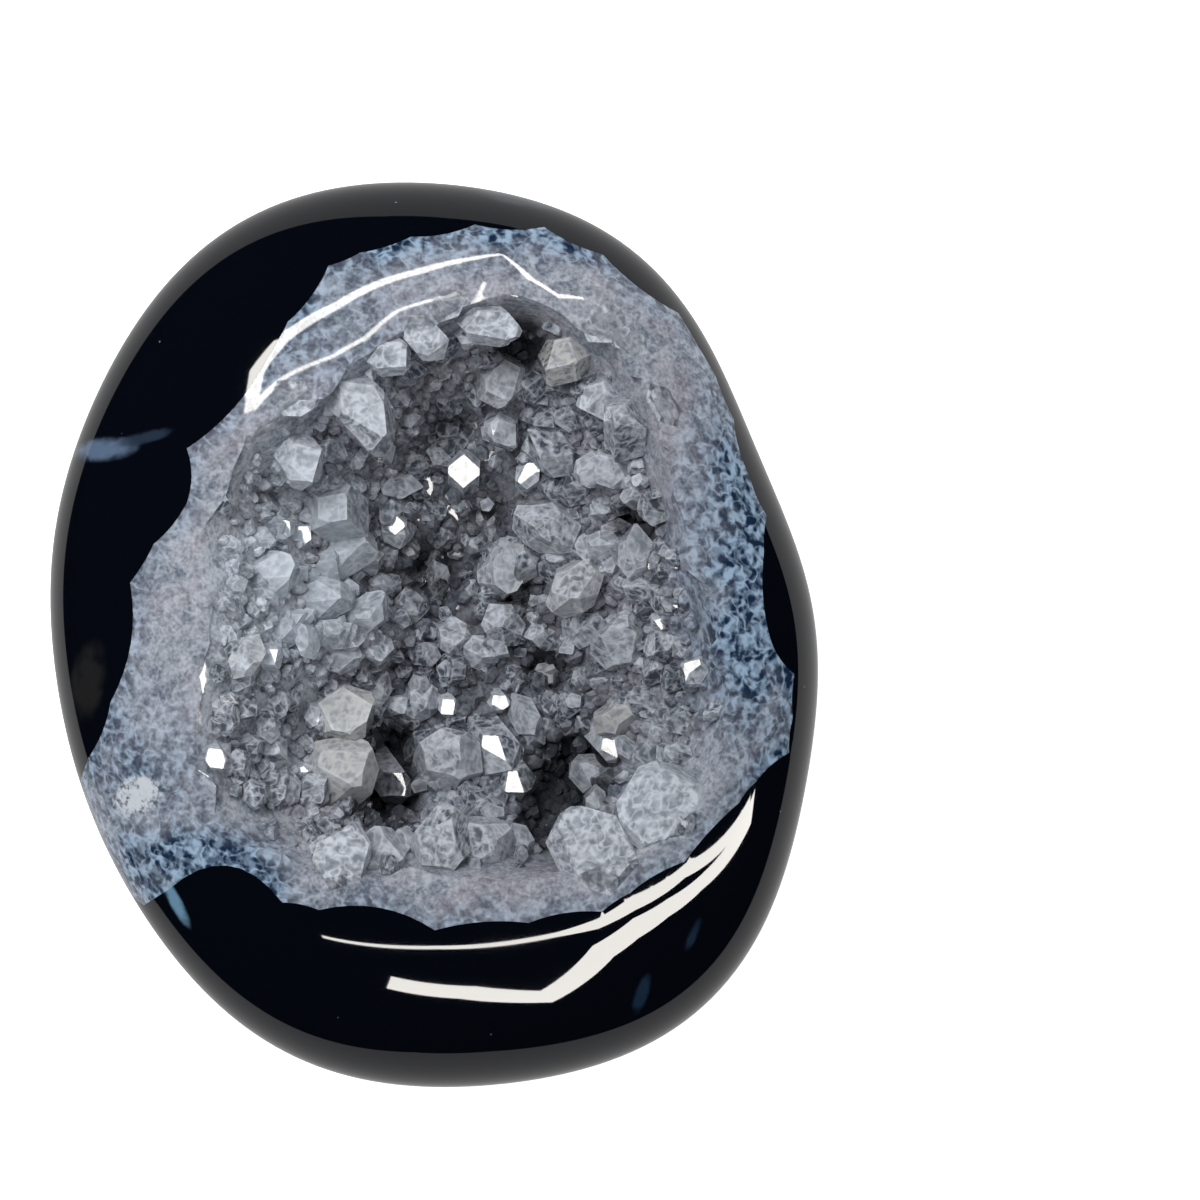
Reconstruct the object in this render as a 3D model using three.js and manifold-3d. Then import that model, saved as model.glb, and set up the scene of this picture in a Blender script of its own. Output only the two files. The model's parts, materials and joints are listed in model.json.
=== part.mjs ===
// Druzy agate pocket stone: a polished black agate pebble whose ground top opens
// onto a hollow lined with grey quartz crystals. Millimetres, +Z up, with the
// origin on the resting face, under the middle of the stone's outline.
import * as THREE from "three";
import { mergeVertices } from "three/addons/utils/BufferGeometryUtils.js";
import Module from "manifold-3d";

const wasm = await Module();
wasm.setup();

// Driving dimensions of the pebble. Radii are read every 20 degrees round the
// stone, counter-clockwise from +X, at its widest level.
const OUTLINE_RADII = [
  21.1, 20.5, 21.3, 23.7, 24.6, 25.2, 24.8, 23.2, 21.8,
  21.1, 21.0, 22.0, 23.6, 24.9, 25.1, 25.6, 24.1, 22.1,
];
const OUTLINE_HARMONICS = 8;
const WIDEST_Z = 9.2;
const CROWN_RISE = 10.4;
const BELLY_DROP = 10.2;
const ROUNDNESS = 2.35;
const PEBBLE_SEGMENTS = 56;
const CROWN_STEPS = 9;
const BELLY_STEPS = 6;

// The contact between agate and quartz, as it shows on the polished top. Each
// point is a cusp of the quartz, with the bulge of the agate lobe that follows
// it, as a share of the lobe's width.
const CONTACT_CUSPS = [
  [18.1, 4.5, 0.04], [18.3, 6.5, 0.05], [17.4, 8.5, 0.05], [16.5, 11.8, 0.02],
  [15.5, 14.2, 0.0], [13.5, 17.6, 0.05], [9.3, 20.8, 0.05], [6.1, 22.3, 0.06],
  [2.3, 22.4, 0.06], [-1.2, 21.7, 0.04], [-4.0, 20.8, 0.04], [-5.7, 20.1, 0.06],
  [-7.9, 17.0, 0.02], [-10.4, 12.8, 0.04], [-13.4, 10.1, 0.09], [-13.4, 7.1, 0.05],
  [-15.2, 4.9, 0.03], [-16.5, 2.8, 0.09], [-17.6, -3.7, 0.06], [-18.9, -6.8, 0.0],
  [-19.6, -8.6, 0.0], [-19.0, -11.1, 0.0], [-17.4, -13.9, 0.0], [-15.9, -14.9, 0.0],
  [-14.5, -14.0, 0.27], [-8.2, -14.6, 0.05], [-6.2, -15.0, 0.11], [0.1, -16.1, 0.05],
  [5.2, -15.7, 0.06], [9.2, -15.1, 0.04], [10.7, -14.1, 0.05], [13.7, -12.4, 0.03],
  [16.7, -9.2, 0.05], [17.6, -8.1, 0.06], [19.5, -6.5, 0.04], [19.7, -4.6, 0.04],
  [19.8, -2.2, 0.08], [18.4, -0.2, 0.05],
];
const LOBE_SAG_STEP = 0.05;
const POCKET_FLOOR_Z = 3.6;
const POCKET_SHOULDER_Z = 7.0;
const POCKET_SHOULDER_SHARE = 0.94;
const POCKET_ROUNDNESS = 2.6;
const POCKET_STEPS = 4;
const SIDE_WINDOW_DROP = 3.0;
const FIT_GAP = 0.3;
const SHARPEST_MITRE = 0.4;

// The open hollow inside the quartz: radii of its lip every 20 degrees, and how
// quickly its wall falls. The left side slopes, and the others drop steeply.
const LIP_RADII = [
  15.6, 15.1, 16.3, 18.9, 18.6, 15.7, 14.9, 14.2, 13.5,
  12.3, 13.7, 15.4, 14.6, 13.5, 13.7, 15.0, 17.0, 16.9,
];
const HOLLOW_FLOOR_Z = 7.2;
const STEEP_WALL = 3.2;
const SLOPING_WALL = 0.8;
const LIP_HARMONICS = 6;
const LIP_RAGGEDNESS = 0.5;
const HOLLOW_SEGMENTS = 32;
const HOLLOW_STEPS = 3;
const LID_Z = 24;

// Large quartz points, each as where it stands seen from above and its width.
const LARGE_POINTS = [
  [2.6, 17.2, 2.7], [7.5, 15.2, 2.9], [3.6, 14.1, 2.6], [6.9, 10.3, 3.1],
  [1.8, 9.3, 2.5], [0.6, 9.8, 1.8], [4.7, 8.8, 2.4], [4.0, 11.7, 2.1],
  [3.9, 4.0, 3.0], [6.6, 6.1, 3.6], [7.9, 3.0, 3.3], [3.9, 0.6, 2.6],
  [1.2, -0.1, 2.3], [2.5, -0.9, 2.2], [-4.1, 0.7, 2.3], [9.6, 4.8, 2.5],
  [8.7, 0.2, 2.2], [-5.6, 7.0, 3.8], [-5.2, 4.1, 3.2], [-6.3, 1.9, 3.0],
  [1.2, -7.1, 3.7], [3.0, -5.9, 2.5], [4.5, -7.8, 1.9], [3.3, -3.5, 2.0],
  [10.4, -4.7, 2.6], [2.8, -11.8, 3.6], [0.2, -11.9, 3.4], [9.0, -12.2, 4.8],
  [12.9, -9.6, 4.8], [-2.7, -12.3, 3.0], [10.7, -0.6, 3.1], [5.2, -4.7, 2.3],
  [-5.8, -8.1, 3.5], [-5.8, -4.7, 3.3], [-8.2, -8.6, 2.1], [-8.9, 3.1, 3.1],
  [-10.2, -1.2, 2.3], [-5.2, -1.3, 2.0], [-3.4, -3.1, 2.2], [10.8, 16.1, 2.0],
  [10.8, 11.4, 3.2], [9.4, 13.1, 2.2], [11.4, 4.1, 2.5], [-4.4, 12.7, 4.0],
  [-2.1, 5.7, 2.0], [-7.6, 9.9, 2.9], [9.2, 9.1, 2.0], [-5.0, -12.7, 3.2],
  [9.2, -8.1, 2.2], [-0.7, -3.6, 2.2],
];
// Low points cover the rest of the wall, strewn about a sunflower spiral that is
// closer towards the lip, where the wall is steep.
const LOW_POINT_COUNT = 80;
const LOW_POINT_WIDTHS = [2.8, 4.2];
const LOW_POINT_REACH = 0.96;
const LOW_POINT_OUTWARDS = 0.42;
const LOW_POINT_STREW = 0.9;
const SEED = 20;

// Proportions of one point, as shares of its width.
const ROOT_SHARE = 0.9;
const LARGE_SHAFT_SHARES = [0.3, 0.75];
const LOW_SHAFT_SHARES = [-0.1, 0.1];
const TIP_SHARE = 0.55;
const APEX_OFFSET_SHARE = 0.12;
const UPRIGHT_SHARE = 0.45;
const LEAN_JITTER = 0.22;

const AGATE = new THREE.MeshStandardMaterial({ color: 0x05070d, roughness: 0.06, metalness: 0 });
const QUARTZ = new THREE.MeshStandardMaterial({ color: 0x8c9097, roughness: 0.18, metalness: 0 });

// A repeatable stream of numbers from 0 to 1.
function seededNumbers(seed) {
  let state = seed;
  return () => {
    state = (state + 0x6d2b79f5) | 0;
    let mixed = Math.imul(state ^ (state >>> 15), 1 | state);
    mixed = (mixed + Math.imul(mixed ^ (mixed >>> 7), 61 | mixed)) ^ mixed;
    return ((mixed ^ (mixed >>> 14)) >>> 0) / 2 ** 32;
  };
}

// The radius of a smooth closed curve at any angle, from radii at even steps round it.
function closedCurve(radii, harmonics) {
  const terms = [];
  for (let k = 0; k <= harmonics; k += 1) {
    const weight = (k === 0 ? 1 : 2) / radii.length;
    const turn = (2 * Math.PI * k) / radii.length;
    const along = radii.reduce((sum, radius, i) => sum + radius * Math.cos(turn * i), 0);
    const across = radii.reduce((sum, radius, i) => sum + radius * Math.sin(turn * i), 0);
    terms.push([along * weight, across * weight]);
  }
  return (angle) =>
    terms.reduce((sum, [c, s], k) => sum + c * Math.cos(k * angle) + s * Math.sin(k * angle), 0);
}

const outlineRadius = closedCurve(OUTLINE_RADII, OUTLINE_HARMONICS);
const lipRadius = closedCurve(LIP_RADII, LIP_HARMONICS);

// Height of the polished crown at a share of the way out from the middle.
function crownHeight(share) {
  const inside = Math.max(0, 1 - Math.min(share, 1) ** ROUNDNESS);
  return WIDEST_Z + CROWN_RISE * inside ** (1 / ROUNDNESS);
}

// A profile turned round the Z axis, with every vertex then moved by place,
// which takes the step round, the profile's first value and its second.
function turnedSolid(profile, segments, place) {
  const turned = new THREE.LatheGeometry(profile.map(([x, y]) => new THREE.Vector2(x, y)), segments);
  turned.deleteAttribute("normal");
  turned.deleteAttribute("uv");
  const position = turned.getAttribute("position");
  for (let i = 0; i < position.count; i += 1) {
    const step = Math.floor(i / profile.length) % segments;
    const [share, level] = profile[i % profile.length];
    position.setXYZ(i, ...place(step, share, level).toArray());
  }
  return manifoldOf(turned);
}

function manifoldOf(geometry) {
  const merged = mergeVertices(geometry, 1e-4);
  const corners = merged.index.array;
  const kept = [];
  for (let i = 0; i < corners.length; i += 3) {
    const [a, b, c] = corners.slice(i, i + 3);
    if (a !== b && b !== c && c !== a) kept.push(a, b, c);
  }
  return new wasm.Manifold(
    new wasm.Mesh({
      numProp: 3,
      vertProperties: merged.getAttribute("position").array,
      triVerts: new Uint32Array(kept),
    }),
  );
}

function namedMesh(name, manifold, material) {
  const { vertProperties, triVerts } = manifold.getMesh();
  const geometry = new THREE.BufferGeometry();
  geometry.setAttribute("position", new THREE.BufferAttribute(vertProperties, 3));
  geometry.setIndex(new THREE.BufferAttribute(triVerts, 1));
  geometry.computeVertexNormals();
  const mesh = new THREE.Mesh(geometry, material);
  mesh.name = name;
  return mesh;
}

// The whole pebble before it was opened: a rounded crown over a belly that is
// worn flat where it rests.
function makePebble() {
  const profile = [];
  for (let i = 0; i <= BELLY_STEPS; i += 1) {
    const tilt = (Math.PI / 2) * (i / BELLY_STEPS);
    profile.push([Math.sin(tilt) ** (2 / ROUNDNESS), -(Math.cos(tilt) ** (2 / ROUNDNESS))]);
  }
  for (let i = CROWN_STEPS - 1; i >= 0; i -= 1) {
    const tilt = (Math.PI / 2) * (i / CROWN_STEPS);
    profile.push([Math.sin(tilt) ** (2 / ROUNDNESS), Math.cos(tilt) ** (2 / ROUNDNESS)]);
  }
  profile[0] = [0, -1];
  profile[profile.length - 1] = [0, 1];
  return turnedSolid(profile, PEBBLE_SEGMENTS, (step, share, level) => {
    const angle = (2 * Math.PI * step) / PEBBLE_SEGMENTS;
    const radius = share * outlineRadius(angle);
    const rise = level > 0 ? CROWN_RISE : BELLY_DROP;
    const z = Math.max(0, WIDEST_Z + level * rise);
    return new THREE.Vector3(radius * Math.cos(angle), radius * Math.sin(angle), z);
  });
}

// The contact line as points in order, each lobe of agate bulging inwards
// between two cusps.
function contactLine() {
  return CONTACT_CUSPS.flatMap(([x, y, bulge], i) => {
    const [nextX, nextY] = CONTACT_CUSPS[(i + 1) % CONTACT_CUSPS.length];
    const cusp = new THREE.Vector2(x, y);
    const span = new THREE.Vector2(nextX, nextY).sub(cusp);
    const inward = new THREE.Vector2(-span.y, span.x);
    const steps = Math.max(1, Math.ceil(Math.sqrt((bulge * span.length()) / LOBE_SAG_STEP)));
    return Array.from({ length: steps }, (_, k) => {
      const t = k / steps;
      return cusp.clone().addScaledVector(span, t).addScaledVector(inward, 4 * bulge * t * (1 - t));
    });
  });
}

// A closed line moved inwards by a gap, square to its two edges at every point.
function insetLine(line, gap) {
  const inwards = line.map((point, i) => {
    const edge = line[(i + 1) % line.length].clone().sub(point).normalize();
    return new THREE.Vector2(-edge.y, edge.x);
  });
  return line.map((point, i) => {
    const before = inwards[(i + line.length - 1) % line.length];
    const mitre = before.clone().add(inwards[i]).normalize();
    return point.clone().addScaledVector(mitre, gap / Math.max(SHARPEST_MITRE, mitre.dot(before)));
  });
}

// The pocket in the agate that the quartz fills. Where the contact runs outside
// the outline, the pocket breaks through the pebble's side as a window.
function makePocket(gap) {
  const line = contactLine();
  const wall = insetLine(line, gap);
  const profile = [[0, POCKET_FLOOR_Z + gap]];
  for (let i = 1; i <= POCKET_STEPS; i += 1) {
    const tilt = (Math.PI / 2) * (i / POCKET_STEPS);
    const depth = Math.max(0, Math.cos(tilt)) ** (2 / POCKET_ROUNDNESS);
    profile.push([
      POCKET_SHOULDER_SHARE * Math.sin(tilt) ** (2 / POCKET_ROUNDNESS),
      THREE.MathUtils.lerp(POCKET_SHOULDER_Z, POCKET_FLOOR_Z, depth) + gap,
    ]);
  }
  profile.push([1, WIDEST_Z], [1, LID_Z], [0, LID_Z]);
  return turnedSolid(profile, line.length, (step, share, level) => {
    const point = line[step];
    const outline = outlineRadius(point.angle());
    const outside = Math.max(0, point.length() - outline);
    const rimZ = crownHeight(point.length() / outline) - SIDE_WINDOW_DROP * outside;
    const isRim = share === 1 && level < LID_Z;
    const z = isRim ? rimZ : level;
    return new THREE.Vector3(wall[step].x * share, wall[step].y * share, z);
  });
}

// Height of the hollow's wall under a point seen from above.
function hollowHeight(x, y) {
  const angle = Math.atan2(y, x);
  const lip = lipRadius(angle);
  const share = Math.min(1, Math.hypot(x, y) / lip);
  const lipZ = crownHeight(lip / outlineRadius(angle));
  const leftness = Math.max(0, -Math.cos(angle)) ** 2;
  const fall = THREE.MathUtils.lerp(STEEP_WALL, SLOPING_WALL, leftness);
  return HOLLOW_FLOOR_Z + (lipZ - HOLLOW_FLOOR_Z) * share ** fall;
}

// The open hollow, with a ragged lip.
function makeHollow(random) {
  const profile = [];
  for (let i = 0; i <= HOLLOW_STEPS; i += 1) profile.push([i / HOLLOW_STEPS, 0]);
  profile.push([1, LID_Z], [0, LID_Z]);
  const lip = Array.from({ length: HOLLOW_SEGMENTS }, (_, step) => {
    const angle = (2 * Math.PI * step) / HOLLOW_SEGMENTS;
    return lipRadius(angle) + LIP_RAGGEDNESS * (2 * random() - 1);
  });
  return turnedSolid(profile, HOLLOW_SEGMENTS, (step, share, level) => {
    const angle = (2 * Math.PI * step) / HOLLOW_SEGMENTS;
    const x = share * lip[step] * Math.cos(angle);
    const y = share * lip[step] * Math.sin(angle);
    return new THREE.Vector3(x, y, level === LID_Z ? LID_Z : hollowHeight(x, y));
  });
}

// One six-sided quartz point with a pyramid tip, rooted under the hollow's wall
// and leaning between straight up and square to that wall.
function makePoint(x, y, width, shaftShares, random) {
  const step = 0.2;
  const slopeX = (hollowHeight(x + step, y) - hollowHeight(x - step, y)) / (2 * step);
  const slopeY = (hollowHeight(x, y + step) - hollowHeight(x, y - step)) / (2 * step);
  const axis = new THREE.Vector3(-slopeX, -slopeY, 1).normalize().multiplyScalar(1 - UPRIGHT_SHARE);
  axis.z += UPRIGHT_SHARE;
  axis.x += LEAN_JITTER * (2 * random() - 1);
  axis.y += LEAN_JITTER * (2 * random() - 1);
  const spin = random() * Math.PI;
  const shaft = width * THREE.MathUtils.lerp(...shaftShares, random());
  const apex = new THREE.Vector2(1, 0).rotateAround(new THREE.Vector2(), random() * 2 * Math.PI);
  apex.multiplyScalar(width * APEX_OFFSET_SHARE);
  const turn = new THREE.Quaternion().setFromUnitVectors(new THREE.Vector3(0, 0, 1), axis.normalize());
  const base = new THREE.Vector3(x, y, hollowHeight(x, y));
  const root = -width * ROOT_SHARE;
  const profile = [[0, root], [1, root], [1, shaft], [0, shaft + width * TIP_SHARE]];
  return turnedSolid(profile, 6, (side, share, level) => {
    const angle = spin + (Math.PI / 3) * side;
    const corner = new THREE.Vector3(Math.cos(angle), Math.sin(angle), 0);
    corner.multiplyScalar((share * width) / 2);
    if (share === 0 && level > shaft) corner.set(apex.x, apex.y, 0);
    corner.z = level;
    return corner.applyQuaternion(turn).add(base);
  });
}

// All the quartz as one crust: what fills the pocket, less the open hollow,
// with the points grown on its wall and ground off level with the crown.
function makeCrust(pebble) {
  const random = seededNumbers(SEED);
  const points = LARGE_POINTS.map(([x, y, width]) =>
    makePoint(x, y, width, LARGE_SHAFT_SHARES, random),
  );
  const goldenAngle = Math.PI * (3 - Math.sqrt(5));
  for (let i = 0; i < LOW_POINT_COUNT; i += 1) {
    const angle = goldenAngle * i;
    const share = LOW_POINT_REACH * ((i + 0.5) / LOW_POINT_COUNT) ** LOW_POINT_OUTWARDS;
    const radius = share * lipRadius(angle);
    const x = radius * Math.cos(angle) + LOW_POINT_STREW * (2 * random() - 1);
    const y = radius * Math.sin(angle) + LOW_POINT_STREW * (2 * random() - 1);
    const width = THREE.MathUtils.lerp(...LOW_POINT_WIDTHS, random());
    points.push(makePoint(x, y, width, LOW_SHAFT_SHARES, random));
  }
  const room = pebble.intersect(makePocket(FIT_GAP));
  const lining = room.subtract(makeHollow(random));
  return points.reduce((crust, point) => crust.add(point), lining).intersect(room);
}

const pebble = makePebble();
const stone = new THREE.Group();
stone.name = "druzy_agate_pocket_stone";
stone.add(namedMesh("agate_shell", pebble.subtract(makePocket(0)), AGATE));
stone.add(namedMesh("quartz_crust", makeCrust(pebble), QUARTZ));

export default stone;
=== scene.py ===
# Druzy agate pocket stone, lying on its back and seen from straight above.
import json
import math
import random

import bmesh
import bpy
import numpy as np
from mathutils import Matrix, Vector, noise

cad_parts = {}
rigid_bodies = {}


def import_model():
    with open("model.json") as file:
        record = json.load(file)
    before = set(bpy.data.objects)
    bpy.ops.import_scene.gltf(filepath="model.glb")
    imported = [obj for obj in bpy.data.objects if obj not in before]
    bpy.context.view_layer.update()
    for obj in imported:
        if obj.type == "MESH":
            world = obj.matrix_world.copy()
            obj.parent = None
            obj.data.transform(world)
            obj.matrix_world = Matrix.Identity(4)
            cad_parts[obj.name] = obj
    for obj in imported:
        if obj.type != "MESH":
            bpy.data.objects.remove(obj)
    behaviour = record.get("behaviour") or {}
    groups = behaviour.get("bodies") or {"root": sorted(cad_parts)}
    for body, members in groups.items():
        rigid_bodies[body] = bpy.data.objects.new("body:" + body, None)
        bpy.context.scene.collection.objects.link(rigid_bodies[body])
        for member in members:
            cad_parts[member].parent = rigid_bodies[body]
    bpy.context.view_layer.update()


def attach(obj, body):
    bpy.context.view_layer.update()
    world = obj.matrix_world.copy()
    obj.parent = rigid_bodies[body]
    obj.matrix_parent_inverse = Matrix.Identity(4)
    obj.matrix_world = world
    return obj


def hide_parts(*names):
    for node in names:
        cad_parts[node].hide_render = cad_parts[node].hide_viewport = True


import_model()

MM = 0.001


# Agate shell
# A pebble of black agate, tumbled and then ground and polished all over by hand.
# It is solid but for the pocket in its top, which the quartz fills right up to a
# scalloped contact, and which breaks out through the pebble's side at one place.
OUTLINE_RADII = [
    21.1, 20.5, 21.3, 23.7, 24.6, 25.2, 24.8, 23.2, 21.8,
    21.1, 21.0, 22.0, 23.6, 24.9, 25.1, 25.6, 24.1, 22.1,
]
OUTLINE_HARMONICS = 8
WIDEST_Z = 9.2
CROWN_RISE = 10.4
BELLY_DROP = 10.2
ROUNDNESS = 2.35
PEBBLE_SEGMENTS = 240
PEBBLE_RINGS = 120
HAND_POLISH_WAVE = 0.03
HAND_POLISH_LENGTH = 8.0

# Cusps of the contact as x and y, with the bulge of the agate lobe after each.
CONTACT_CUSPS = [
    (18.1, 4.5, 0.04), (18.3, 6.5, 0.05), (17.4, 8.5, 0.05), (16.5, 11.8, 0.02),
    (15.5, 14.2, 0.0), (13.5, 17.6, 0.05), (9.3, 20.8, 0.05), (6.1, 22.3, 0.06),
    (2.3, 22.4, 0.06), (-1.2, 21.7, 0.04), (-4.0, 20.8, 0.04), (-5.7, 20.1, 0.06),
    (-7.9, 17.0, 0.02), (-10.4, 12.8, 0.04), (-13.4, 10.1, 0.09), (-13.4, 7.1, 0.05),
    (-15.2, 4.9, 0.03), (-16.5, 2.8, 0.09), (-17.6, -3.7, 0.06), (-18.9, -6.8, 0.0),
    (-19.6, -8.6, 0.0), (-19.0, -11.1, 0.0), (-17.4, -13.9, 0.0), (-15.9, -14.9, 0.0),
    (-14.5, -14.0, 0.27), (-8.2, -14.6, 0.05), (-6.2, -15.0, 0.11), (0.1, -16.1, 0.05),
    (5.2, -15.7, 0.06), (9.2, -15.1, 0.04), (10.7, -14.1, 0.05), (13.7, -12.4, 0.03),
    (16.7, -9.2, 0.05), (17.6, -8.1, 0.06), (19.5, -6.5, 0.04), (19.7, -4.6, 0.04),
    (19.8, -2.2, 0.08), (18.4, -0.2, 0.05),
]
LOBE_STEPS = 8
POCKET_FLOOR_Z = 3.6
POCKET_SHOULDER_Z = 7.0
POCKET_SHOULDER_SHARE = 0.94
POCKET_ROUNDNESS = 2.6
POCKET_STEPS = 8
SIDE_WINDOW_DROP = 3.0
SHARPEST_MITRE = 0.4
LID_Z = 24.0


def closed_curve(radii, harmonics):
    """The radius of a smooth closed curve at any angle, from radii at even steps round it."""
    turns = [2 * math.pi * i / len(radii) for i in range(len(radii))]
    terms = []
    for k in range(harmonics + 1):
        weight = (1 if k == 0 else 2) / len(radii)
        along = sum(radius * math.cos(k * turn) for radius, turn in zip(radii, turns))
        across = sum(radius * math.sin(k * turn) for radius, turn in zip(radii, turns))
        terms.append((k, along * weight, across * weight))
    return lambda angle: sum(c * math.cos(k * angle) + s * math.sin(k * angle) for k, c, s in terms)


outline_radius = closed_curve(OUTLINE_RADII, OUTLINE_HARMONICS)


def crown_height(x, y):
    share = math.hypot(x, y) / outline_radius(math.atan2(y, x))
    return WIDEST_Z + CROWN_RISE * max(0.0, 1 - share ** ROUNDNESS) ** (1 / ROUNDNESS)


def turned_form(name, segments, rings, place):
    """A closed form whose vertices lie where place puts each step round it and each ring up it."""
    bm = bmesh.new()
    bmesh.ops.create_uvsphere(bm, u_segments=segments, v_segments=rings, radius=1)
    for vert in bm.verts:
        step = round(math.atan2(vert.co.y, vert.co.x) / (2 * math.pi) * segments) % segments
        ring = round((1 - math.acos(max(-1, min(1, vert.co.z))) / math.pi) * rings)
        vert.co = Vector(place(step, ring)) * MM
    bmesh.ops.recalc_face_normals(bm, faces=bm.faces)
    return piece_from(name, bm)


def piece_from(name, bm):
    mesh = bpy.data.meshes.new(name)
    bm.to_mesh(mesh)
    bm.free()
    piece = bpy.data.objects.new(name, mesh)
    bpy.context.scene.collection.objects.link(piece)
    return piece


def carve(piece, operation, tool=None, tools=None):
    """Joins or cuts the piece with one other form or a collection of them, which are then gone."""
    cut = piece.modifiers.new(operation, "BOOLEAN")
    cut.operation = operation
    cut.solver = "MANIFOLD"
    cut.operand_type = "COLLECTION" if tools else "OBJECT"
    cut.collection = tools
    cut.object = tool
    graph = bpy.context.evaluated_depsgraph_get()
    carved = bpy.data.meshes.new_from_object(piece.evaluated_get(graph))
    piece.modifiers.clear()
    piece.data = carved
    for used in list(tools.objects) if tools else [tool]:
        bpy.data.objects.remove(used)


def make_pebble(name, lowered):
    """The whole polished pebble, its crown lowered by a hair where it has to lie under another."""

    def place(step, ring):
        angle = 2 * math.pi * step / PEBBLE_SEGMENTS
        tilt = math.pi * ring / PEBBLE_RINGS
        share = abs(math.sin(tilt)) ** (2 / ROUNDNESS)
        level = abs(math.cos(tilt)) ** (2 / ROUNDNESS)
        x = share * outline_radius(angle) * math.cos(angle)
        y = share * outline_radius(angle) * math.sin(angle)
        if ring * 2 <= PEBBLE_RINGS:
            return x, y, max(0.0, WIDEST_Z - BELLY_DROP * level)
        wave = HAND_POLISH_WAVE * noise.noise(Vector((x, y, 0.0)) / HAND_POLISH_LENGTH)
        return x, y, WIDEST_Z + (CROWN_RISE + wave) * level - lowered

    return turned_form(name, PEBBLE_SEGMENTS, PEBBLE_RINGS, place)


def contact_line():
    line = []
    for (x, y, bulge), (next_x, next_y, _) in zip(CONTACT_CUSPS, CONTACT_CUSPS[1:] + CONTACT_CUSPS[:1]):
        span = Vector((next_x - x, next_y - y))
        inward = Vector((-span.y, span.x))
        for k in range(LOBE_STEPS):
            t = k / LOBE_STEPS
            line.append(Vector((x, y)) + span * t + inward * 4 * bulge * t * (1 - t))
    return line


def widened(line, gap):
    """The closed line moved outwards by a gap, square to its two edges at every point."""
    outwards = []
    for point, after in zip(line, line[1:] + line[:1]):
        edge = (after - point).normalized()
        outwards.append(Vector((edge.y, -edge.x)))
    moved = []
    for i, point in enumerate(line):
        mitre = (outwards[i - 1] + outwards[i]).normalized()
        moved.append(point + mitre * gap / max(SHARPEST_MITRE, mitre.dot(outwards[i])))
    return moved


def make_pocket(name, gap):
    """The pocket's space, larger all round by the gap."""
    line = contact_line()
    wall = widened(line, gap)
    profile = [(0.0, POCKET_FLOOR_Z - gap)]
    for i in range(1, POCKET_STEPS + 1):
        tilt = math.pi / 2 * i / POCKET_STEPS
        depth = max(0.0, math.cos(tilt)) ** (2 / POCKET_ROUNDNESS)
        share = POCKET_SHOULDER_SHARE * math.sin(tilt) ** (2 / POCKET_ROUNDNESS)
        profile.append((share, POCKET_SHOULDER_Z + (POCKET_FLOOR_Z - POCKET_SHOULDER_Z) * depth - gap))
    rim_ring = len(profile)
    profile += [(1.0, None), (1.0, LID_Z), (0.0, LID_Z)]

    def place(step, ring):
        share, z = profile[ring]
        if ring == rim_ring:
            point = line[step]
            outside = max(0.0, point.length - outline_radius(math.atan2(point.y, point.x)))
            z = crown_height(point.x, point.y) - SIDE_WINDOW_DROP * outside
        return wall[step].x * share, wall[step].y * share, z

    return turned_form(name, len(line), len(profile) - 1, place)


def linear(hex_colour):
    """A colour as sRGB hex, such as 8A9099, turned to linear red, green, blue and alpha."""
    shares = [int(hex_colour[i:i + 2], 16) / 255 for i in (0, 2, 4)]
    return [s / 12.92 if s <= 0.04045 else ((s + 0.055) / 1.055) ** 2.4 for s in shares] + [1.0]


def add_node(tree, kind, inputs=(), output=0, **settings):
    """An output of a new node, whose inputs, in order or by name, are values or sockets to link."""
    made = tree.nodes.new("ShaderNode" + kind)
    for name, value in settings.items():
        setattr(made, name, value)
    named = inputs if isinstance(inputs, dict) else dict(enumerate(inputs))
    for name, value in named.items():
        if isinstance(value, bpy.types.NodeSocket):
            tree.links.new(value, made.inputs[name])
        else:
            made.inputs[name].default_value = value
    return made.outputs[output] if made.outputs else None


def new_material(name):
    material = bpy.data.materials.new(name)
    material.use_nodes = True
    material.node_tree.nodes.clear()
    return material, material.node_tree


# Settings of every range of a pattern, and of every mix of two colours.
SMOOTH = {"interpolation_type": "SMOOTHSTEP"}
COLOURS = {"data_type": "RGBA", "output": "Result"}


def patch_amount(tree, place, middle, half_sizes, turn, strength):
    """A soft-edged oval that is strongest in its middle, seen from above."""
    local = add_node(tree, "Mapping", {
        "Vector": place,
        "Location": (middle[0] * MM, middle[1] * MM, 0.0),
        "Rotation": (0.0, 0.0, math.radians(turn)),
        "Scale": (half_sizes[0] * MM, half_sizes[1] * MM, 1.0),
    }, vector_type="TEXTURE")
    blob = add_node(tree, "TexGradient", [local], "Fac", gradient_type="SPHERICAL")
    return add_node(tree, "Math", [blob, strength], operation="MULTIPLY")


# Polished black agate: a dense, nearly opaque chalcedony. The polish gives clear
# reflections, with milky wisps just under the surface and a little dust on it, whose
# specks are drawn coarser than real ones so that they show.
QUARTZ_IOR = 1.54
AGATE_ROUGHNESS = (0.015, 0.035)
AGATE_BLACK = linear("04060C")
DUST_PALE = linear("8E949E")
DUST_GAP = 2.5
FEATHER_SIZE = 1.0
SMEAR_SIZE = 5.0

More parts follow.
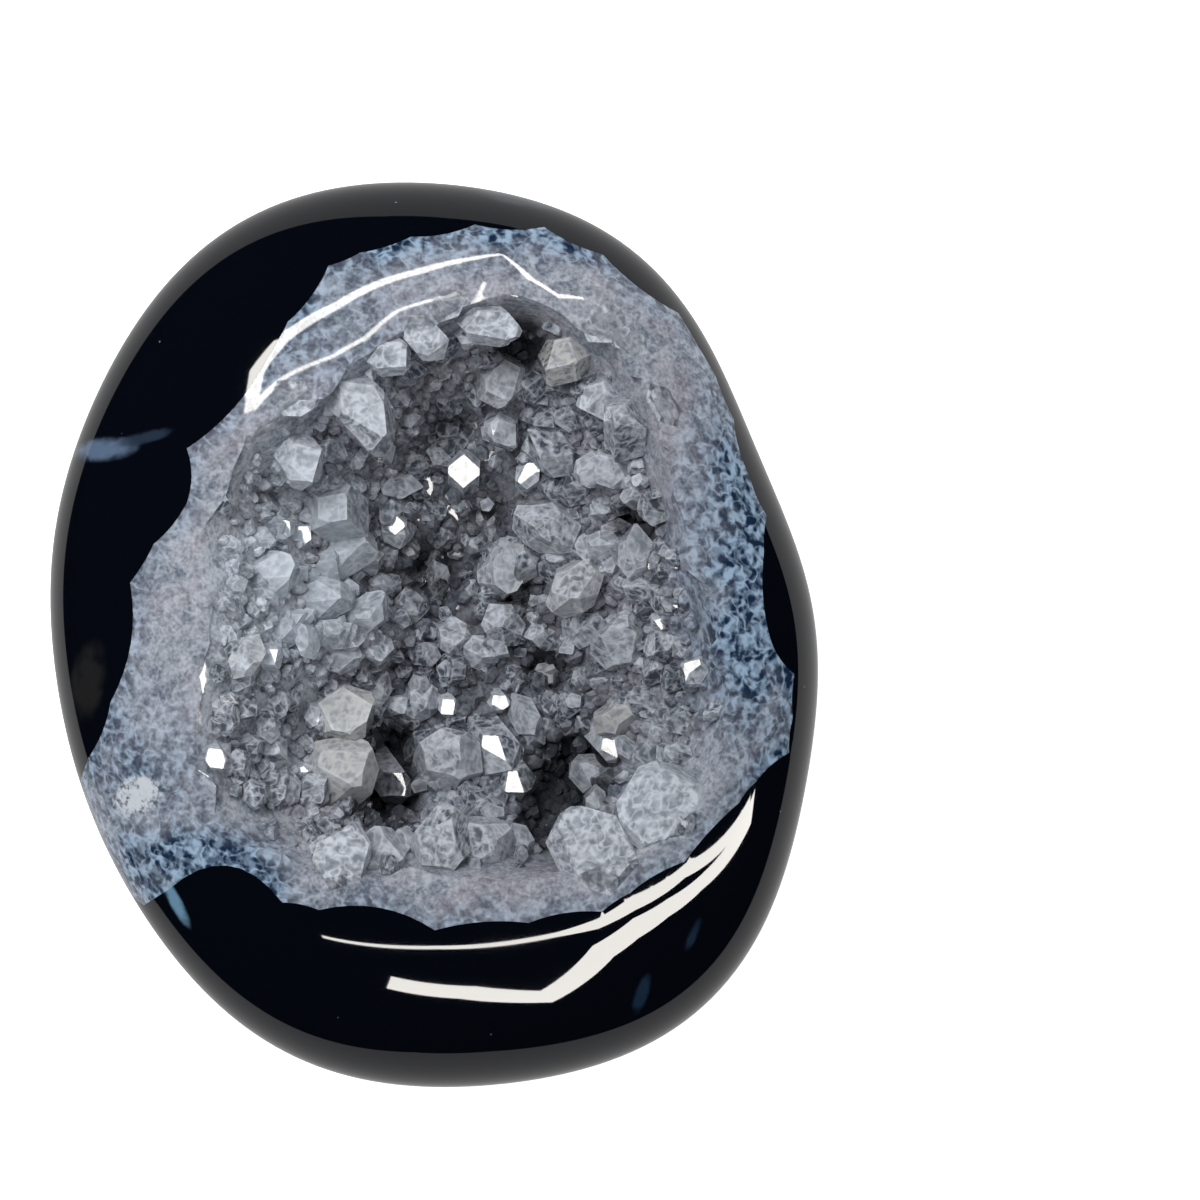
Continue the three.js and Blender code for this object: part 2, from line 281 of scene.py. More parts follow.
# Wisps as a middle, half sizes, a turn in degrees, a colour and how strong they are.
WISPS = [
    ((-18.0, 10.1), (2.4, 0.85), 5, linear("4C5C72"), 0.9),
    ((-15.8, 10.7), (2.2, 0.45), 14, linear("222D3B"), 0.8),
    ((-18.9, -2.6), (1.3, 2.8), -12, linear("1E1E1E"), 0.7),
    ((11.4, -19.7), (0.5, 1.5), -18, linear("18283A"), 0.8),
    ((14.2, -16.4), (0.35, 1.3), -24, linear("18283A"), 0.8),
    ((-14.1, -14.6), (0.45, 2.2), 28, linear("55748A"), 1.0),
    ((5.0, 24.0), (3.5, 0.7), -10, linear("3B4047"), 0.5),
]


def black_agate():
    material, tree = new_material("polished_black_agate")
    place = add_node(tree, "TexCoord", output="Object")
    feather = add_node(tree, "TexNoise", {
        "Vector": place, "Scale": 1 / (FEATHER_SIZE * MM), "Detail": 4.0,
    }, "Fac")
    colour = AGATE_BLACK
    for middle, half_sizes, turn, tint, strength in WISPS:
        whole = patch_amount(tree, place, middle, half_sizes, turn, 1.0)
        torn = add_node(tree, "Math", [whole, feather], operation="MULTIPLY")
        share = add_node(tree, "MapRange", [torn, 0.05, 0.3, 0.0, strength], **SMOOTH)
        colour = add_node(tree, "Mix", {"Factor": share, "A": colour, "B": tint}, **COLOURS)
    from_speck = add_node(tree, "TexVoronoi", {"Vector": place, "Scale": 1 / (DUST_GAP * MM)}, "Distance")
    dust = add_node(tree, "MapRange", [from_speck, 0.012, 0.03, 0.6, 0.0], **SMOOTH)
    colour = add_node(tree, "Mix", {"Factor": dust, "A": colour, "B": DUST_PALE}, **COLOURS)
    smear = add_node(tree, "TexNoise", {
        "Vector": place, "Scale": 1 / (SMEAR_SIZE * MM), "Detail": 3.0,
    }, "Fac")
    roughness = add_node(tree, "MapRange", [smear, 0.3, 0.7, *AGATE_ROUGHNESS], **SMOOTH)
    surface = add_node(tree, "BsdfPrincipled", {
        "Base Color": colour, "Roughness": roughness, "IOR": QUARTZ_IOR,
    })
    add_node(tree, "OutputMaterial", [surface])
    return material


SMOOTH_BELOW = math.radians(25)
agate_shell = make_pebble("agate_stone", lowered=0.0)
carve(agate_shell, "DIFFERENCE", make_pocket("pocket", gap=0.0))
agate_shell.data.shade_smooth()
agate_shell.data.set_sharp_from_angle(angle=SMOOTH_BELOW)
agate_shell.data.materials.clear()
agate_shell.data.materials.append(black_agate())
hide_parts("agate_shell")
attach(agate_shell, "root")


# Quartz crust
# Quartz that grew inwards from the pocket's wall, first as a milky lining of sugar-fine
# grains and then as clear, stubby points that stand free in the open hollow. Round the
# rim the lining is ground and polished level with the agate.
GROWN_INTO_AGATE = 0.1
BELOW_CROWN = 0.012
LIP_RADII = [
    15.6, 15.1, 16.3, 18.9, 18.6, 15.7, 14.9, 14.2, 13.5,
    12.3, 13.7, 15.4, 14.6, 13.5, 13.7, 15.0, 17.0, 16.9,
]
LIP_HARMONICS = 6
LIP_RAGGEDNESS = 1.5
LIP_RAG_LENGTH = 2.6
HOLLOW_FLOOR_Z = 7.2
LINING_LEFT = 1.0
STEEP_WALL = 3.2
SLOPING_WALL = 0.8
HOLLOW_SEGMENTS = 144
HOLLOW_RINGS = 40

# Pits between the points, as a middle, a half width and how much deeper they go.
PITS = [
    (4.8, 16.0, 1.4, 3.5), (0.6, 11.6, 1.8, 1.1), (5.9, -10.8, 1.3, 3.4), (7.9, -7.5, 1.7, 3.4),
    (11.3, 6.3, 1.3, 3.0), (4.6, 2.6, 1.2, 2.0), (-2.4, -9.4, 1.6, 3.0), (0.0, 3.6, 1.8, 2.0),
    (6.2, -2.0, 1.4, 2.0), (-9.2, 7.6, 1.2, 1.6), (3.2, 6.8, 1.2, 1.6), (-2.2, -5.8, 1.2, 1.6),
    (-2.6, -7.6, 2.0, 1.3), (6.9, -8.6, 2.5, 1.3),
]
DEEPEST_GROWTH = 1.8

# Large points as where each stands seen from above, its width, and how warm its tint is.
LARGE_POINTS = [
    (2.6, 17.2, 2.7, 0.0), (7.5, 15.2, 2.9, 0.8), (3.6, 14.1, 2.6, 0.2), (6.9, 10.3, 3.1, 0.0),
    (0.6, 9.8, 1.8, 0.0), (4.0, 11.7, 2.1, 0.0), (3.9, 4.0, 3.0, 0.1), (6.6, 6.1, 3.6, 0.0),
    (7.9, 3.0, 3.3, 0.3), (3.9, 0.6, 2.6, 0.0), (1.2, -0.1, 2.3, 0.0), (2.5, -0.9, 2.2, 0.0),
    (-4.1, 0.7, 2.3, 0.0), (9.6, 4.8, 2.5, 0.0), (8.7, 0.2, 2.2, 0.0), (-5.6, 7.0, 3.8, 0.0),
    (-5.2, 4.1, 3.2, 0.0), (-6.3, 1.9, 3.0, 0.0), (0.7, -7.4, 3.4, 0.1), (10.4, -4.7, 2.6, 0.9),
    (2.8, -11.8, 3.6, 0.1), (0.2, -11.9, 3.4, 0.1), (9.0, -12.2, 4.8, 0.0), (12.9, -9.6, 4.8, 0.0),
    (-5.0, -12.7, 3.2, 0.2), (10.7, -0.6, 3.1, 0.0), (5.2, -4.7, 2.3, 0.0), (-5.8, -8.1, 3.5, 0.7),
    (-5.8, -4.7, 3.3, 0.7), (-8.2, -8.6, 2.1, 0.0), (-8.9, 3.1, 3.1, 0.0), (-10.2, -1.2, 2.3, 0.4),
    (-5.2, -1.3, 2.0, 0.0), (-3.4, -3.1, 2.2, 0.0), (10.8, 16.1, 2.0, 0.0), (10.8, 11.4, 3.2, 0.0),
    (9.4, 13.1, 2.2, 0.0), (11.4, 4.1, 2.5, 0.0), (-4.4, 12.7, 4.0, 0.0), (-2.1, 5.7, 2.0, 0.0),
    (-7.6, 9.9, 2.9, 0.0), (9.2, 9.1, 2.0, 0.0), (9.2, -8.1, 2.2, 0.0), (-0.7, -3.6, 2.2, 0.0),
    (-2.7, -12.3, 3.0, 0.0), (-0.6, 16.3, 2.6, 0.1), (-2.6, 15.2, 2.4, 0.0), (0.8, 17.9, 2.0, 0.0),
    (9.3, 16.9, 2.4, 0.2), (12.6, 12.6, 2.2, 0.0), (-7.4, 12.6, 2.2, 0.0),
]

# Points with a face that mirrors a lamp at the eye, as where each stands and its width.
GLINTING_POINTS = [
    (1.7, 8.8, 2.0), (5.2, 8.5, 1.5), (-2.1, 5.8, 1.5), (3.1, -6.0, 3.0),
    (4.4, -7.8, 2.2), (-2.5, -7.9, 2.2), (9.5, -5.9, 1.6), (0.7, -3.8, 1.3),
    (3.5, -3.6, 1.2), (-9.1, -1.0, 1.5), (-12.0, -6.5, 1.2), (-7.2, 5.2, 1.2),
]
EYE = Vector((0.0, 0.0, 561.0))
NORTH_LAMP = Vector((-174.0, 207.0, 295.0))
SOUTH_LAMP = Vector((-8.0, -313.0, 246.0))
# The mirroring face is larger by a share of the point's width, and the room that it needs is
# another. In a pit the point stands higher, by a share of the pit's depth.
GLINT_FACE_LEAD = 0.28
GLINT_CLEARANCE = 0.75
GLINT_RISE = 0.6

# Smaller points as their number, their narrowest and widest, and how far out to the lip they
# reach. An even spread has an exponent of a half, and less brings them closer towards the lip.
MIDDLE_POINTS = (340, 1.0, 2.0, 0.93)
SMALL_POINTS = (480, 0.6, 1.1, 0.9)
GRAINS = (1800, 0.45, 1.0, 0.92)
POINT_KINDS = 24
HOLLOW_WIDTH = 30.0
SPREAD_EXPONENT = 0.45
SEED = 20

# On the left milky quartz has grown over half of the smaller points.
OVERGROWN_X = -7.0
OVERGROWN_SHARE = 0.5

# Proportions of a quartz point as shares of its width: its tip's faces slope at
# the mineral's own angle, and grow unevenly.
FACE_SLOPE = math.radians(51.8)
FACE_UNEVENNESS = 0.26
FACE_CONTRAST = 0.3
SECTION_STRETCH = 0.2
ROOT_SHARE = 1.1
UNCUT_SHARE = 4.0
LARGE_SHAFT_SHARES = (0.3, 0.75)
SMALL_SHAFT_SHARES = (0.1, 0.7)
LARGE_TONES = (0.45, 0.85)
SMALL_TONES = (-0.05, 0.7)
POLISHED_TONE = 0.6
UPRIGHT_SHARE = 0.45
LEAN_JITTER = 0.3
WALL_STEP = 0.2

lip_radius = closed_curve(LIP_RADII, LIP_HARMONICS)
draw = random.Random(SEED)


def pit_depth(x, y):
    """How much deeper the pits make the hollow, at one place or at an array of places."""
    return sum(
        extra * np.exp(-((x - middle_x) ** 2 + (y - middle_y) ** 2) / half ** 2)
        for middle_x, middle_y, half, extra in PITS
    )


def hollow_height(x, y):
    """Height of the hollow's wall under a point seen from above."""
    angle = math.atan2(y, x)
    lip = lip_radius(angle)
    share = min(1.0, math.hypot(x, y) / lip)
    lip_z = crown_height(lip * math.cos(angle), lip * math.sin(angle))
    leftness = max(0.0, -math.cos(angle)) ** 2
    fall = STEEP_WALL + (SLOPING_WALL - STEEP_WALL) * leftness
    z = HOLLOW_FLOOR_Z + (lip_z - HOLLOW_FLOOR_Z) * share ** fall - pit_depth(x, y)
    return max(z, POCKET_FLOOR_Z + LINING_LEFT)


def make_hollow(name):
    def place(step, ring):
        angle = 2 * math.pi * step / HOLLOW_SEGMENTS
        lip = lip_radius(angle)
        spot = Vector((lip * math.cos(angle), lip * math.sin(angle), 0.0)) / LIP_RAG_LENGTH
        lip += LIP_RAGGEDNESS * noise.noise(spot)
        share = math.sin(math.pi * ring / HOLLOW_RINGS)
        x, y = share * lip * math.cos(angle), share * lip * math.sin(angle)
        return x, y, hollow_height(x, y) if ring * 2 <= HOLLOW_RINGS else LID_Z

    return turned_form(name, HOLLOW_SEGMENTS, HOLLOW_RINGS, place)


def quartz_point(shaft, tone, warmth=0.0, with_hearts=True, lead=0.0):
    """One six-sided point of unit width, rooted below the origin, with six uneven tip faces.

    A face that has a heart is marked from 0 along its edges to 1 in its middle. The first
    tip face may take the lead, which makes it larger than the others.
    """
    bm = bmesh.new()
    bmesh.ops.create_cone(bm, cap_ends=True, segments=6, radius1=0.5, radius2=0.5, depth=UNCUT_SHARE)
    bmesh.ops.translate(bm, verts=bm.verts, vec=(0, 0, UNCUT_SHARE / 2 - ROOT_SHARE))
    tip = shaft + 0.5 * math.cos(math.pi / 6) * math.tan(FACE_SLOPE)
    for side in range(6):
        angle = math.pi / 6 + math.pi / 3 * side
        out = Vector((math.cos(angle), math.sin(angle), 0.0)) * math.sin(FACE_SLOPE)
        facing = out + Vector((0.0, 0.0, math.cos(FACE_SLOPE)))
        reach = tip + draw.uniform(-FACE_UNEVENNESS, FACE_UNEVENNESS) - (lead if side == 0 else 0.0)
        on_face = Vector((0.0, 0.0, reach))
        everything = bm.verts[:] + bm.edges[:] + bm.faces[:]
        cut = bmesh.ops.bisect_plane(
            bm, geom=everything, plane_co=on_face, plane_no=facing, clear_outer=True,
        )
        edges = [part for part in cut["geom_cut"] if isinstance(part, bmesh.types.BMEdge)]
        bmesh.ops.holes_fill(bm, edges=edges)
    tones = bm.faces.layers.float.new("tone")
    warmths = bm.faces.layers.float.new("warmth")
    hearts = bm.loops.layers.float.new("heart")
    for face in bm.faces:
        face[tones] = tone + draw.uniform(-FACE_CONTRAST, FACE_CONTRAST)
        face[warmths] = warmth
    if with_hearts:
        for vert in bmesh.ops.poke(bm, faces=bm.faces[:])["verts"]:
            for loop in vert.link_loops:
                loop[hearts] = 1.0
    mesh = bpy.data.meshes.new("quartz_point")
    bm.to_mesh(mesh)
    bm.free()
    return mesh


def stand_point(growth, shape, x, y, width):
    """Stands a point on the hollow's wall, between straight up and square to the wall."""
    slope_x = (hollow_height(x + WALL_STEP, y) - hollow_height(x - WALL_STEP, y)) / (2 * WALL_STEP)
    slope_y = (hollow_height(x, y + WALL_STEP) - hollow_height(x, y - WALL_STEP)) / (2 * WALL_STEP)
    axis = Vector((-slope_x, -slope_y, 1.0)).normalized() * (1 - UPRIGHT_SHARE)
    axis += Vector((draw.uniform(-1, 1), draw.uniform(-1, 1), 0.0)) * LEAN_JITTER
    axis.z += UPRIGHT_SHARE
    lean = Vector((0, 0, 1)).rotation_difference(axis.normalized()).to_matrix().to_4x4()
    spin = Matrix.Rotation(draw.uniform(0, math.pi), 4, "Z")
    base = Matrix.Translation(Vector((x, y, hollow_height(x, y))) * MM)
    stretch = draw.uniform(1 - SECTION_STRETCH, 1 + SECTION_STRETCH)
    size = Matrix.Diagonal((width * MM * stretch, width * MM / stretch, width * MM, 1.0))
    point = bpy.data.objects.new("point", shape)
    point.matrix_world = base @ lean @ spin @ size
    growth.objects.link(point)


def stand_glinting_point(growth, shape, x, y, width):
    """Stands a point so that its leading face mirrors a lamp across the hollow to the eye."""
    root = Vector((x, y, hollow_height(x, y) + GLINT_RISE * pit_depth(x, y)))
    lamp = NORTH_LAMP if y < 0 else SOUTH_LAMP
    half_way = ((EYE - root).normalized() + (lamp - root).normalized()).normalized()
    aside = half_way.cross(Vector((0, 0, 1))).normalized()
    axis = Matrix.Rotation(FACE_SLOPE, 3, aside) @ half_way
    out = (half_way - axis * half_way.dot(axis)).normalized()
    turn = Matrix((out, axis.cross(out), axis)).transposed() @ Matrix.Rotation(-math.pi / 6, 3, "Z")
    point = bpy.data.objects.new("point", shape)
    point.matrix_world = Matrix.Translation(root * MM) @ turn.to_4x4() @ Matrix.Scale(width * MM, 4)
    growth.objects.link(point)


def strewn(count, reach):
    """Places spread over the hollow, closer together where the wall is steep."""
    golden = math.pi * (3 - math.sqrt(5))
    gap = HOLLOW_WIDTH / math.sqrt(count)
    for i in range(count):
        angle = golden * i
        radius = reach * ((i + 0.5) / count) ** SPREAD_EXPONENT * lip_radius(angle)
        x = radius * math.cos(angle) + gap * draw.uniform(-0.5, 0.5)
        y = radius * math.sin(angle) + gap * draw.uniform(-0.5, 0.5)
        yield x, y


def has_room(x, y):
    """Whether a point may stand free here: not deep in a pit, nor in front of a glinting face."""
    clear = all(
        math.hypot(x - glint_x, y - glint_y) > GLINT_CLEARANCE * width
        for glint_x, glint_y, width in GLINTING_POINTS
    )
    return clear and pit_depth(x, y) < DEEPEST_GROWTH


def new_growth(name):
    growth = bpy.data.collections.new(name)
    bpy.context.scene.collection.children.link(growth)
    return growth


def fused(name, growth):
    """One closed mesh of all the points in a growth."""
    first = growth.objects[0]
    mesh = first.data.copy()
    mesh.transform(first.matrix_world)
    bpy.data.objects.remove(first)
    piece = bpy.data.objects.new(name, mesh)
    bpy.context.scene.collection.objects.link(piece)
    carve(piece, "UNION", tools=growth)
    return piece


points_growth = new_growth("points_growth")
grains_growth = new_growth("grains_growth")
for x, y, width, warmth in LARGE_POINTS:
    shape = quartz_point(draw.uniform(*LARGE_SHAFT_SHARES), draw.uniform(*LARGE_TONES), warmth)
    stand_point(points_growth, shape, x, y, width)
for x, y, width in GLINTING_POINTS:
    shape = quartz_point(LARGE_SHAFT_SHARES[1], draw.uniform(*LARGE_TONES), lead=GLINT_FACE_LEAD)
    stand_glinting_point(points_growth, shape, x, y, width)
for growth, strewing in (
    (points_growth, MIDDLE_POINTS), (points_growth, SMALL_POINTS), (grains_growth, GRAINS),
):
    count, narrowest, widest, reach = strewing
    standing_free = growth == points_growth
    kinds = []
    for _ in range(POINT_KINDS):
        shaft = draw.uniform(*SMALL_SHAFT_SHARES)
        tone = draw.uniform(*SMALL_TONES)
        kinds.append(quartz_point(shaft, tone, with_hearts=standing_free))
    for x, y in strewn(count, reach):
        overgrown = x < OVERGROWN_X and draw.random() < OVERGROWN_SHARE
        if overgrown or (standing_free and not has_room(x, y)):
            continue
        stand_point(growth, draw.choice(kinds), x, y, draw.uniform(narrowest, widest))

lining = make_pebble("quartz_lining", lowered=BELOW_CROWN)
carve(lining, "INTERSECT", make_pocket("pocket", gap=GROWN_INTO_AGATE))


def copy_of(piece, name):
    copied = bpy.data.objects.new(name, piece.data.copy())
    bpy.context.scene.collection.objects.link(copied)
    return copied


# The crust's whole room below the crown trims the grains and the points that grow past it.
# A face that it cuts on a point is ground and polished with the rim, and gets no painted edge highlights.
grains_room = copy_of(lining, "grains_room")
points_room = copy_of(lining, "points_room")
for name, domain, value in (("tone", "FACE", POLISHED_TONE), ("heart", "CORNER", 1.0)):
    mark = points_room.data.attributes.new(name, "FLOAT", domain)
    mark.data.foreach_set("value", [value] * len(mark.data))
carve(lining, "DIFFERENCE", make_hollow("hollow"))
carve(lining, "UNION", tools=grains_growth)
carve(lining, "INTERSECT", grains_room)
points = fused("quartz_points", points_growth)
carve(points, "INTERSECT", points_room)
for growth in (points_growth, grains_growth):
    bpy.data.collections.remove(growth)

# A face of the lining that lies this close to the crown is polished.
LEVEL_WITHIN = 0.08


def places_on(mesh):
    places = np.empty(len(mesh.vertices) * 3)
    mesh.vertices.foreach_get("co", places)
    return places.reshape(-1, 3) / MM


def mark_pits(mesh):
    x, y, _ = places_on(mesh).T
    mesh.attributes.new("pit", "FLOAT", "POINT").data.foreach_set("value", pit_depth(x, y))


def mark_lining(mesh):
    """Marks each vertex with its distance from the contact, and each face that is polished."""
    line = contact_line()
    bearings = np.array([math.atan2(point.y, point.x) for point in line])
    reaches = np.array([point.length for point in line])
    order = np.argsort(bearings)
    x, y, z = places_on(mesh).T
    reach = np.interp(np.arctan2(y, x), bearings[order], reaches[order], period=2 * math.pi)
    from_contact = reach - np.hypot(x, y)
    mesh.attributes.new("contact_mm", "FLOAT", "POINT").data.foreach_set("value", from_contact)
    crown = np.array([crown_height(*spot) for spot in zip(x, y)])
    level = np.abs(z - crown) < LEVEL_WITHIN
    polished = [float(all(level[i] for i in face.vertices)) for face in mesh.polygons]
    mesh.attributes.new("polished", "FLOAT", "FACE").data.foreach_set("value", polished)


mark_lining(lining.data)
mark_pits(lining.data)
mark_pits(points.data)


# Milky quartz: a tight mass of grains that scatters light. Grain edges and healed cracks
# show in it as pale wandering lines, and the black agate shows through blue where it is thin.
CRYSTAL_ROUGHNESS = 0.04
GRAIN_PALE = linear("9C9FA7")
GRAIN_GREY = linear("545D69")
GRAIN_VIOLET = linear("66656E")
EDGE_BLUE = linear("869BB0")
HEART_BLUE = linear("132338")
# The colour of the shade painted deep in the hollow and in the pits.
DEEP_PAINTED_SHADE = linear("181B20")
WHITE_GRAIN = linear("AEB3B8")
OVERGROWN_PALE = linear("CDD6E0")
CUT_GRAIN_SIZE = 1.6
VEIN_SIZE = 0.75
SUGAR_SIZE = 0.2
CLOUD_SIZE = 3.0
THIN_WIDTH = 1.6
# Painted shade deepens from BRIGHT_Z down to DEEP_Z, and in the pits fades out between the heights of
# PIT_SHADE_Z.
DEEP_Z = 6.5
BRIGHT_Z = 12.5
PIT_SHADE_Z = (12.5, 15.5)

# Where the lining is thin over the agate, as a middle, half sizes, and how blue it gets.
BLUE_PATCHES = [
    ((18.5, 4.0), (6.5, 14.0), 1.8),
    ((-12.0, -12.8), (5.5, 3.2), 1.7),
    ((-16.0, -7.5), (5.0, 6.0), 0.8),
    ((-16.5, -12.5), (2.4, 2.6), 0.8),
    ((2.0, 22.0), (12.0, 3.2), 0.8),
    ((-7.0, 17.0), (8.0, 6.0), 0.7),
]

# One white grain at the side window, and milky quartz grown over the left slope, each as a
# middle, half sizes, a turn in degrees and how strong it is.
WHITE_PATCH = ((-16.1, -8.8), (1.9, 1.3), 20, 1.0)
OVERGROWN_PATCH = ((-9.5, 1.0), (5.5, 12.0), 0, 0.6)


def wandered(tree, place, size, by):
    """Places pushed about by up to a distance, so that what is drawn there gets uneven edges."""
    push = add_node(tree, "TexNoise", {"Vector": place, "Scale": 1 / (size * MM), "Detail": 1.0}, "Color")
    shift = add_node(tree, "VectorMath", [push, (2 * by * MM,) * 3], operation="MULTIPLY")
    return add_node(tree, "VectorMath", [place, shift], operation="ADD")


def veined(tree, place, size, ground_share):
    """Pale wandering lines over a clouded ground, as grain edges and healed cracks show in quartz."""
    bent = wandered(tree, place, 1.3 * size, 0.6 * size)
    swell = add_node(tree, "TexNoise", {"Vector": bent, "Scale": 1 / (size * MM), "Detail": 1.0}, "Fac")
    beside_line = add_node(tree, "Math", [swell, 0.5], operation="SUBTRACT")
    off_line = add_node(tree, "Math", [beside_line], operation="ABSOLUTE")
    lines = add_node(tree, "MapRange", [off_line, 0.0, 0.13, 0.45, 0.0], **SMOOTH)
    cloud = add_node(tree, "TexNoise", {
        "Vector": place, "Scale": 1 / (0.8 * size * MM), "Detail": 3.0,
    }, "Fac")
    ground = add_node(tree, "MapRange", [cloud, 0.33, 0.67, -0.1, ground_share], **SMOOTH)
    return add_node(tree, "Math", [lines, ground], operation="ADD")


def pit_shade(tree, place, shallow, deep, most):
    """How much shade is painted in a pit, fading out up the hollow's wall."""
    pit = add_node(tree, "Attribute", output="Fac", attribute_name="pit")
    dark = add_node(tree, "MapRange", [pit, shallow, deep, 0.0, most], **SMOOTH)
    height = add_node(tree, "SeparateXYZ", [place], "Z")
    low, high = PIT_SHADE_Z
    below = add_node(tree, "MapRange", [height, low * MM, high * MM, 1.0, 0.0], **SMOOTH)
    return add_node(tree, "Math", [dark, below], operation="MULTIPLY")


def milky_quartz():
    material, tree = new_material("milky_quartz")
    place = add_node(tree, "TexCoord", output="Object")
    height = add_node(tree, "SeparateXYZ", [place], "Z")
    contact = add_node(tree, "Attribute", output="Fac", attribute_name="contact_mm")
    polished = add_node(tree, "Attribute", output="Fac", attribute_name="polished")
    cloud = add_node(tree, "TexNoise", {
        "Vector": place, "Scale": 1 / (CLOUD_SIZE * MM), "Detail": 2.0,
    }, "Fac")

    # Pale veins, grains of their own tone and a sugary sparkle, over grey and violet ground.
    veins = veined(tree, place, VEIN_SIZE, 0.6)
    bent = wandered(tree, place, CUT_GRAIN_SIZE, 0.4 * CUT_GRAIN_SIZE)
    grain = add_node(tree, "TexVoronoi", {"Vector": bent, "Scale": 1 / (CUT_GRAIN_SIZE * MM)}, "Color")
    own_tone = add_node(tree, "SeparateColor", [grain])
    sugar = add_node(tree, "TexNoise", {
        "Vector": place, "Scale": 1 / (SUGAR_SIZE * MM), "Detail": 2.0,
    }, "Fac")
    pale_veins = add_node(tree, "Math", [veins, 0.55], operation="MULTIPLY")
    pale_grains = add_node(tree, "Math", [own_tone, 0.3], operation="MULTIPLY")
    pale_sugar = add_node(tree, "MapRange", [sugar, 0.3, 0.7, -0.15, 0.3], **SMOOTH)
    paleness = add_node(tree, "Math", [pale_veins, pale_grains], operation="ADD")
    paleness = add_node(tree, "Math", [paleness, pale_sugar], operation="ADD")
    violet = add_node(tree, "MapRange", [cloud, 0.4, 0.65, 0.0, 1.0], **SMOOTH)
    grey = add_node(tree, "Mix", {"Factor": violet, "A": GRAIN_GREY, "B": GRAIN_VIOLET}, **COLOURS)
    colour = add_node(tree, "Mix", {"Factor": paleness, "A": grey, "B": GRAIN_PALE}, **COLOURS)

    # Blue at the contact and wherever else the agate shows through.
    edges = add_node(tree, "MapRange", [veins, 0.0, 1.1, 0.0, 1.0], **SMOOTH)
    over_agate = add_node(tree, "Mix", {"Factor": edges, "A": HEART_BLUE, "B": EDGE_BLUE}, **COLOURS)
    blueness = add_node(tree, "MapRange", [contact, 0.0, THIN_WIDTH, 0.5, 0.0], **SMOOTH)
    for middle, half_sizes, strength in BLUE_PATCHES:
        patch = patch_amount(tree, place, middle, half_sizes, 0, strength)
        blueness = add_node(tree, "Math", [blueness, patch], operation="ADD")
    unevenness = add_node(tree, "MapRange", [cloud, 0.3, 0.65, 0.6, 1.2], **SMOOTH)
    blueness = add_node(tree, "Math", [blueness, unevenness], operation="MULTIPLY")
    colour = add_node(tree, "Mix", {"Factor": blueness, "A": colour, "B": over_agate}, **COLOURS)

    # The white grain at the side window.
    patch = patch_amount(tree, place, *WHITE_PATCH)
    white = add_node(tree, "Math", [patch, paleness], operation="MULTIPLY")
    white = add_node(tree, "MapRange", [white, 0.02, 0.3, 0.0, 0.85], **SMOOTH)
    colour = add_node(tree, "Mix", {"Factor": white, "A": colour, "B": WHITE_GRAIN}, **COLOURS)

    # Painted shade deep in the hollow and in the pits, but not on the polished rim.
    lit = add_node(tree, "MapRange", [height, DEEP_Z * MM, BRIGHT_Z * MM, 0.4, 1.0], **SMOOTH)
    in_pit = pit_shade(tree, place, 0.3, 1.8, 0.75)
    out_of_pit = add_node(tree, "MapRange", [in_pit, 0.0, 1.0, 1.0, 0.0], **SMOOTH)
    lit = add_node(tree, "Math", [lit, out_of_pit], operation="MULTIPLY")
    lit = add_node(tree, "Math", [lit, polished], operation="MAXIMUM")
    colour = add_node(tree, "Mix", {"Factor": lit, "A": DEEP_PAINTED_SHADE, "B": colour}, **COLOURS)

    # Milky quartz grown over the left slope, short of the polished rim.
    overgrown = patch_amount(tree, place, *OVERGROWN_PATCH)
    unpolished = add_node(tree, "MapRange", [polished, 0.0, 1.0, 1.0, 0.0], **SMOOTH)
    overgrown = add_node(tree, "Math", [overgrown, unpolished], operation="MULTIPLY")
    thickness = add_node(tree, "MapRange", [paleness, 0.1, 0.8, 0.3, 1.0], **SMOOTH)
    overgrown = add_node(tree, "Math", [overgrown, thickness], operation="MULTIPLY")
    colour = add_node(tree, "Mix", {"Factor": overgrown, "A": colour, "B": OVERGROWN_PALE}, **COLOURS)
    surface = add_node(tree, "BsdfPrincipled", {
        "Base Color": colour, "Roughness": CRYSTAL_ROUGHNESS, "IOR": QUARTZ_IOR,
    })
    add_node(tree, "OutputMaterial", [surface])
    return material


# Clear quartz: glass-clear points, hazed by bubbles and healed cracks inside them, that show
# bent pieces of what lies under, with highlights painted along their edges.
POINT_SHADE = linear("565E6A")
POINT_LIGHT = linear("EAF0FA")
# The colour of the highlights painted along the points' edges.
PAINTED_EDGE_HIGHLIGHT = linear("F0F4FA")
POINT_WARM = linear("D8D7CA")
POINT_MILKY = linear("E2EDF8")
POINT_TRANSMISSION = 0.5
FLAW_SIZE = 0.6
EDGE_SHARE = 0.28

# Where the points are milkier and bluer than elsewhere, as a middle, half sizes and how much.
MILKY_PATCHES = [
    ((-6.5, 3.5), (6.0, 8.0), 0.65),
    ((11.0, -7.0), (5.0, 5.0), 0.2),
]


